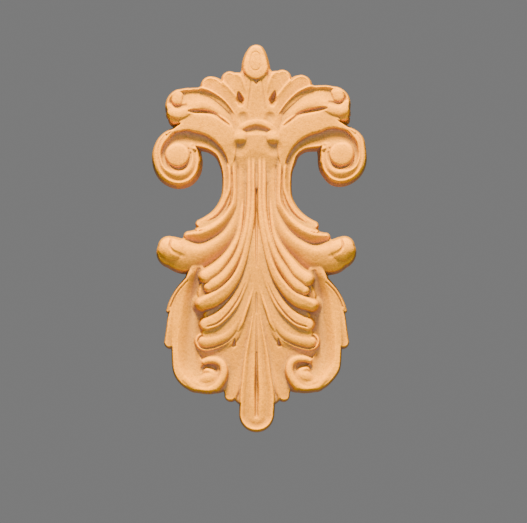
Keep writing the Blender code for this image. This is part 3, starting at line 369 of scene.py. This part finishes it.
def carve_frame(relief):
    """The ground, the framed sides and the small volutes below."""
    relief.raise_leaf(GROUND, FLAT, .1)
    relief.raise_leaf(SIDE_LOBE, CREST_IN, .4, 2.4, drop=(0, 1))
    relief.raise_leaf(FRAME_TIP_1, CREST_OUT, .5, drop=SHEER)
    relief.raise_leaf(FRAME_TIP_2, FLAT, .25, drop=SHEER)
    relief.raise_leaf(FRAME, FLAT, .2, drop=SHEER)
    relief.raise_leaf(LOW_VOLUTE, ROUND, .5, drop=SHEER)
    relief.cut_trough(FRAME_TROUGH, 1.2, .7)
    relief.cut_groove(LOW_EYE)
    relief.raise_leaf(LOW_RIM, ROUND, .9, drop=SHEER)
    relief.raise_leaf(LOW_BALL, ROUND, .8, drop=SHEER)
    relief.cut_groove(TIP_LINE)


def carve_lower_leaves(relief):
    """The broad middle leaf, the fingers beside it and the tongue."""
    relief.raise_leaf(BROAD_LEAF, FLAT, .15)
    relief.raise_leaf(LEAF_BED, FLAT, .1, drop=(1, 5))
    relief.raise_leaf(FINGER_BED, FLAT, .1, drop=(1, 9))
    relief.raise_leaf(GAP_BED, FLAT, .1, drop=(1, 3))
    relief.raise_leaf(FINGER_J, ROUND, .5, drop=(0, 1))
    relief.raise_leaf(FINGER_I, ROUND, .5, drop=(0, 2))
    relief.raise_leaf(FINGER_H, CAPSULE, .7, drop=(1, 9))
    relief.raise_leaf(FINGER_H_RIM, ROUND, .7, drop=(1, 2))
    relief.raise_leaf(FINGER_G, FLAT, .7, drop=(1, 4))
    relief.cut_groove(G_LINE)
    relief.cut_groove(I_NOTCH)
    relief.raise_leaf(V_RIDGE, ROUND, 1, drop=(0, 1))
    relief.raise_leaf(TONGUE_LEAF, TONGUE, .5, 3.0, drop=(1, 9))
    relief.cut_groove(CENTRE_CLEFT, 1.5)


def carve_stem_leaves(relief):
    """The long leaves that fall from the stem to both sides."""
    relief.raise_leaf(EDGE_LEAF, CREST_IN, .8, 2.0, drop=(0, 2))
    relief.raise_leaf(RIDGE_1, ROUND, 1.2, drop=(0, 0))
    relief.raise_leaf(SECOND_LEAF, SLOPING, 1.3, 4.6, drop=(0, 4))
    relief.raise_leaf(ROLL_LEAF, ROLLED, .9, 5.5, drop=(0, 9))
    relief.raise_leaf(ROLL_END, ROUND, .9, 5, drop=SHEER, blend=5)
    relief.cut_groove(ROLL_CREASE)
    relief.raise_leaf(LEAF_D, ROUND, 1.4, 3.6, drop=(0, 9))
    relief.raise_leaf(LEAF_E, ROUND, 1.6, 3.6, drop=(0, 5))
    relief.raise_leaf(LEAF_F, FALLING, 1.3, 3.4, drop=(0, 5))
    relief.cut_groove(STEM_CLEFT)
    relief.cut_groove(FLUTE_CLEFT)
    relief.cut_groove(V_CLEFT)


def carve_volutes(relief):
    """The fan's ground, the bays' rims and the big volutes."""
    relief.raise_leaf(FAN, FLAT, .1)
    relief.raise_leaf(VOLUTE_FLOOR, FLAT, .05)
    relief.raise_leaf(BAY_RIM, COVE, .42, 1.8, drop=(0, 3))
    relief.raise_leaf(SCROLL, FLAT, .25, 1.2, drop=(1, 9))
    relief.raise_leaf(RING, SCROLL_RING, .75, 3.4, drop=SHEER)
    relief.cut_trough(SPIRAL, .5, 2.6)
    relief.raise_leaf(BOSS, FLAT, .3, drop=SHEER)


def carve_head(relief):
    """The top curls, the petals, the finial and the arch with its bulbs."""
    relief.raise_leaf(TOP_CURL, LIPPED, .5, 2.7, drop=(1, 2.5))
    relief.raise_leaf(CURL_KNOB, ROUND, .5, drop=(2, 2), blend=1.5)
    relief.raise_leaf(CURL_LIP, ROUND, .55, drop=SHEER, blend=1.5)
    relief.cut_groove(CURL_FOLD)
    relief.cut_groove(CURL_SLIT)
    relief.raise_leaf(PETAL_2, PETAL, .25, drop=(0, 2))
    relief.raise_leaf(PETAL_1, PETAL, .25, drop=(0, 2))
    relief.raise_leaf(FAN_PANEL, FLAT, .1, drop=(0, 1))
    relief.cut_groove(EYE)
    relief.cut_groove(DIMPLE, 1.5)
    relief.cut_groove(PANEL_LINE)
    relief.cut_groove(FINIAL_CLEFT)
    relief.fill_egg(FINIAL_BODY)
    relief.raise_leaf(FINIAL, FLAT, .1, drop=(2.4, 2.4))
    relief.ring_line(FINIAL_INCISION)
    relief.cut_groove(ARCH_RECESS)
    relief.raise_leaf(ARCH, ROUND, .6, drop=(1, 1), blend=1)
    relief.raise_leaf(BULB, ROUND, .85, drop=(1.5, 1.5), blend=1.2)
    relief.cut_groove(BULB_SHADE, 1.5)


def carve(relief):
    """All strokes, each over those before it."""
    for body in (STEM_BODY, WING_BODY, UPPER_BODY, NECK_BODY, SCROLL_BODY, LOWER_BODY, SHOULDER_BODY,
                 EDGE_BODY, PETAL_BODY, ROLL_BODY):
        relief.fill_body(body)
    carve_frame(relief)
    carve_lower_leaves(relief)
    carve_stem_leaves(relief)
    carve_volutes(relief)
    carve_head(relief)


def half(x, z):
    """Every point of the panel, read on the drawing of one half."""
    x = x + LEAN * np.exp(-((z - LEAN_PLACE) / LEAN_REACH) ** 2)
    u = np.abs(x)
    du, dz, total = np.zeros_like(u), np.zeros_like(u), np.full_like(u, DRIFT_CALM)
    for cu, cz, reach, a, b in DRIFT:
        w = np.exp(-((u - cu) ** 2 + (z - cz) ** 2) / reach ** 2)
        du += w * a
        dz += w * b
        total += w
    right = x > 0
    return u - np.where(right, du / total, 0), z - np.where(right, dz / total, 0)


def field(name):
    """A grid over the front of the panel, raised to the relief."""
    nx = int(round((WIDTH + 2 * MARGIN) / PITCH))
    nz = int(round((HEIGHT + 2 * MARGIN) / PITCH))
    bpy.ops.mesh.primitive_grid_add(x_subdivisions=nx, y_subdivisions=nz, size=1.0)
    obj = bpy.context.active_object
    obj.name = name
    obj.data.name = name
    n = len(obj.data.vertices)
    co = np.empty(n * 3)
    obj.data.vertices.foreach_get("co", co)
    co = co.reshape(n, 3)
    x = co[:, 0] * (WIDTH + 2 * MARGIN)
    z = co[:, 1] * (HEIGHT + 2 * MARGIN)
    relief = Relief(*half(x, z))
    carve(relief)
    h = np.maximum(relief.height(), -CUT_DEPTH)
    obj.data.vertices.foreach_set("co", (np.stack([x, -h, z], 1) * MM).ravel())
    obj.data.update()
    return obj, np.maximum(h, 0).reshape(nz + 1, nx + 1)


def softened(heights, reach):
    """The heights blurred over so many grid steps, within the carving alone."""
    steps = np.arange(-3 * reach, 3 * reach + 1)
    weights = np.exp(-.5 * (steps / reach) ** 2)
    total = heights
    share = (heights > 0).astype(float)
    for axis in (0, 1):
        total = np.apply_along_axis(np.convolve, axis, total, weights, "same")
        share = np.apply_along_axis(np.convolve, axis, share, weights, "same")
    return total / np.maximum(share, 1e-6)


def mark_painted_shading(obj, heights):
    """Writes on each vertex how far it stands out of its surroundings.

    Ridges get a painted highlight and hollows a painted shade from it.
    """
    # Painted shade in hollows and painted highlight on ridges, from how far each point stands out of its
    # blurred surroundings.
    painted_shading = np.zeros(heights.shape)
    for reach, strength in PAINTED_SHADING:
        painted_shading += strength * np.clip((heights - softened(heights, reach)) / (reach * PITCH), -1, 1)
    n = len(obj.data.vertices)
    co = np.empty(n * 3)
    obj.data.vertices.foreach_get("co", co)
    co = co.reshape(n, 3) / MM
    rows, columns = heights.shape
    i = np.clip(np.rint((co[:, 2] / (HEIGHT + 2 * MARGIN) + .5) * (rows - 1)), 0, rows - 1).astype(int)
    j = np.clip(np.rint((co[:, 0] / (WIDTH + 2 * MARGIN) + .5) * (columns - 1)), 0, columns - 1).astype(int)
    # Stored on each vertex for the wood's painted shade and highlight.
    layer = obj.data.attributes.new("painted_shading", "FLOAT", "POINT")
    layer.data.foreach_set("value", np.clip(.5 + painted_shading[i, j], 0, 1))     # one half is flat ground


def clear_outside(obj):
    """Drops the faces that lie wholly behind the wall plane."""
    bm = bmesh.new()
    bm.from_mesh(obj.data)
    away = [f for f in bm.faces if min(v.co.y for v in f.verts) > 0]
    bmesh.ops.delete(bm, geom=away, context="FACES")
    bmesh.ops.triangulate(bm, faces=bm.faces[:])
    bm.to_mesh(obj.data)
    bm.free()


def thin_out(obj):
    """Fewer triangles where the carving is smooth."""
    mod = obj.modifiers.new("thin", "DECIMATE")
    mod.ratio = min(1.0, FACES / len(obj.data.polygons))
    bpy.context.view_layer.objects.active = obj
    bpy.ops.object.modifier_apply(modifier=mod.name)


def close_back(obj):
    """Cuts the relief on the wall plane and closes it with a flat back."""
    bm = bmesh.new()
    bm.from_mesh(obj.data)
    everything = bm.verts[:] + bm.edges[:] + bm.faces[:]
    bmesh.ops.bisect_plane(bm, geom=everything, plane_co=(0, 0, 0), plane_no=(0, 1, 0), clear_outer=True)
    keep_largest(bm)
    bmesh.ops.remove_doubles(bm, verts=bm.verts[:], dist=WELD)
    bmesh.ops.triangulate(bm, faces=bm.faces[:])
    rim = [e for e in bm.edges if e.is_boundary]
    for v in {v for e in rim for v in e.verts}:
        v.co.y = 0.0
    for f in bm.faces:
        f.smooth = True
    bmesh.ops.triangle_fill(bm, edges=rim, use_beauty=True, normal=(0, 1, 0))
    for e in rim:
        e.smooth = False
    bmesh.ops.recalc_face_normals(bm, faces=bm.faces[:])
    bm.to_mesh(obj.data)
    bm.free()


def keep_largest(bm):
    """Keeps the largest connected sheet and drops stray scraps."""
    left = set(bm.faces)
    groups = []
    while left:
        group = {left.pop()}
        frontier = list(group)
        while frontier:
            for e in frontier.pop().edges:
                for f in e.link_faces:
                    if f in left:
                        left.remove(f)
                        group.add(f)
                        frontier.append(f)
        groups.append(group)
    groups.sort(key=len)
    scraps = [f for group in groups[:-1] for f in group]
    bmesh.ops.delete(bm, geom=scraps, context="FACES")


class Nodes:
    """Short hands for a material's node tree."""

    def __init__(self, name):
        self.mat = bpy.data.materials.new(name)
        self.mat.use_nodes = True
        self.tree = self.mat.node_tree
        self.skin = self.tree.nodes["Principled BSDF"]

    def add(self, kind, links=None, **values):
        """A node with its settings; each input is a value or another node's output."""
        node = self.tree.nodes.new(kind)
        for key, value in values.items():
            setattr(node, key, value)
        for name, source in (links or {}).items():
            if isinstance(source, (int, float, tuple)):
                node.inputs[name].default_value = source
            else:
                self.tree.links.new(source, node.inputs[name])
        return node

    def ramp(self, source, *stops):
        """A value turned into colour by stops of place and colour."""
        node = self.add("ShaderNodeValToRGB", {"Fac": source})
        cells = node.color_ramp.elements
        while len(cells) < len(stops):
            cells.new(0.5)
        for cell, (place, colour) in zip(cells, stops):
            cell.position = place
            cell.color = colour
        return node.outputs["Color"]


def grey(value):
    return (value, value, value, 1.0)


# The wood: its colour from painted shade in the deep hollows to painted highlight on the ridges
HOLLOW_PAINTED_SHADE = (0.43, 0.240, 0.085, 1)
SLOPE_PAINTED_SHADE = (0.52, 0.268, 0.036, 1)
OPEN = (0.570, 0.282, 0.020, 1)
RIDGE_PAINTED_HIGHLIGHT = (0.79, 0.385, 0.006, 1)
PAINTED_SHADING_COLOURS = ((0.0, HOLLOW_PAINTED_SHADE), (0.35, SLOPE_PAINTED_SHADE), (0.5, OPEN), (1.0, RIDGE_PAINTED_HIGHLIGHT))
# Its patterns: scale, detail and roughness of the noise
BLOTCH = (55.0, 3.0, 0.6)
GRAIN = (1500.0, 2.0, 0.7)
FLECK = (700.0, 2.0, 0.6)
# Grey that each pattern multiplies the colour by, from its dark to its light places
BLOTCH_SHADES = ((0.3, 0.95), (0.55, 1.0), (0.8, 1.03))
GRAIN_SHADES = ((0.3, 0.80), (0.5, 1.0), (0.72, 1.14))
FLECK_SHADES = ((0.32, 0.86), (0.5, 1.0), (0.7, 1.06))
WOOD_ROUGHNESS = 0.75
WOOD_SHINE = 0.03
# Its bumps: strength and depth
GRAIN_BUMP = (0.55, 0.00022)
FLECK_BUMP = (0.45, 0.0004)


def noise(m, place, pattern):
    """One of the wood's patterns, as a grey value."""
    scale, detail, roughness = pattern
    node = m.add("ShaderNodeTexNoise",
                 {"Vector": place, "Scale": scale, "Detail": detail, "Roughness": roughness})
    return node.outputs["Fac"]


def shades(m, source, stops):
    return m.ramp(source, *[(place, grey(value)) for place, value in stops])


def multiply(m, first, second):
    node = m.add("ShaderNodeMix", data_type="RGBA", blend_type="MULTIPLY")
    node.inputs["Factor"].default_value = 1.0
    m.tree.links.new(first, node.inputs["A"])
    m.tree.links.new(second, node.inputs["B"])
    return node.outputs["Result"]


def wood():
    """Pale pressed wood: painted highlight on ridges and painted shade in hollows, fine light and dark
    grains, soft blotches, matt.
    """
    m = Nodes("carved_wood")
    place = m.add("ShaderNodeTexCoord").outputs["Object"]
    blotch = noise(m, place, BLOTCH)
    grain = noise(m, place, GRAIN)
    fleck = noise(m, place, FLECK)
    # Painted shade in hollows and painted highlight on ridges, read from each vertex.
    painted_shading = m.add("ShaderNodeAttribute", attribute_name="painted_shading").outputs["Fac"]
    colour = m.ramp(painted_shading, *PAINTED_SHADING_COLOURS)
    for source, stops in ((blotch, BLOTCH_SHADES), (grain, GRAIN_SHADES), (fleck, FLECK_SHADES)):
        colour = multiply(m, colour, shades(m, source, stops))
    m.tree.links.new(colour, m.skin.inputs["Base Color"])
    m.skin.inputs["Roughness"].default_value = WOOD_ROUGHNESS
    m.skin.inputs["Specular IOR Level"].default_value = WOOD_SHINE
    normal = None
    for source, (strength, depth) in ((grain, GRAIN_BUMP), (fleck, FLECK_BUMP)):
        bump = m.add("ShaderNodeBump", {"Height": source, "Strength": strength, "Distance": depth})
        if normal:
            m.tree.links.new(normal, bump.inputs["Normal"])
        normal = bump.outputs["Normal"]
    m.tree.links.new(normal, m.skin.inputs["Normal"])
    return m.mat


def plain(name, colour, roughness):
    m = Nodes(name)
    m.skin.inputs["Base Color"].default_value = colour
    m.skin.inputs["Roughness"].default_value = roughness
    m.skin.inputs["Specular IOR Level"].default_value = 0.1
    return m.mat


def applique():
    """The one piece, in place of its solid."""
    obj, heights = field("acanthus_applique_carving")
    clear_outside(obj)
    thin_out(obj)
    close_back(obj)
    # Painted shade in the hollows and painted highlight on the ridges.
    mark_painted_shading(obj, heights)
    obj.data.materials.append(wood())
    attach(obj, "root")
    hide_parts("acanthus_applique")


# Pale floor
FLOOR_SIZE = 8.0
FLOOR_DROP = 3.2           # below the origin
FLOOR_COLOUR = (0.72, 0.71, 0.69, 1)
FLOOR_ROUGHNESS = 0.9
# Lights, aimed at the origin: place, size, watts, colour
KEY_ABOVE = ((-0.10, -0.72, 1.25), 0.4, 161.0, (1.0, 0.635, 0.0))
FILL_FRONT = ((0.5, -2.2, 0.6), 1.2, 25.0, (1.0, 0.92, 0.40))
LIFT_BELOW = ((0, -0.9, -0.5), 0.8, 2.4, (1.0, 1.0, 3.2))
WORLD_COLOUR = (1, 1, 1, 1)
WORLD_STRENGTH = 0.2


def floor():
    """A pale studio floor well below the hung ornament."""
    bpy.ops.mesh.primitive_plane_add(size=FLOOR_SIZE, location=(0, 0, -FLOOR_DROP))
    obj = bpy.context.active_object
    obj.name = "studio_floor"
    obj.data.materials.append(plain("studio_pale", FLOOR_COLOUR, FLOOR_ROUGHNESS))


def area_light(name, place, size, power, colour):
    """A round soft light that faces the origin."""
    data = bpy.data.lights.new(name, "AREA")
    data.shape = "DISK"
    data.size = size
    data.energy = power
    data.color = colour
    obj = bpy.data.objects.new(name, data)
    bpy.context.scene.collection.objects.link(obj)
    obj.location = place
    obj.rotation_euler = (Vector() - Vector(place)).to_track_quat("-Z", "Y").to_euler()


def studio():
    floor()
    area_light("key_above", *KEY_ABOVE)
    area_light("fill_front", *FILL_FRONT)
    area_light("lift_below", *LIFT_BELOW)
    world = bpy.data.worlds.new("studio")
    bpy.context.scene.world = world
    world.use_nodes = True
    background = world.node_tree.nodes["Background"]
    background.inputs["Color"].default_value = WORLD_COLOUR
    background.inputs["Strength"].default_value = WORLD_STRENGTH


def camera():
    """Straight on, at the photograph's scale and framing."""
    data = bpy.data.cameras.new("photo_camera")
    data.lens = LENS
    data.sensor_width = SENSOR
    data.dof.use_dof = False
    away = (LENS / SENSOR * PHOTO_WIDTH * PHOTO_MM_PER_PIXEL + SCALE_PLANE) * MM
    x = (CENTRE_COLUMN - AXIS_COLUMN) * PHOTO_MM_PER_PIXEL * MM
    z = (ORIGIN_ROW - CENTRE_ROW) * PHOTO_MM_PER_PIXEL * MM
    obj = bpy.data.objects.new("photo_camera", data)
    bpy.context.scene.collection.objects.link(obj)
    obj.location = (x, -away, z)
    obj.rotation_euler = (math.pi / 2, 0, 0)
    bpy.context.scene.camera = obj


applique()
studio()
camera()
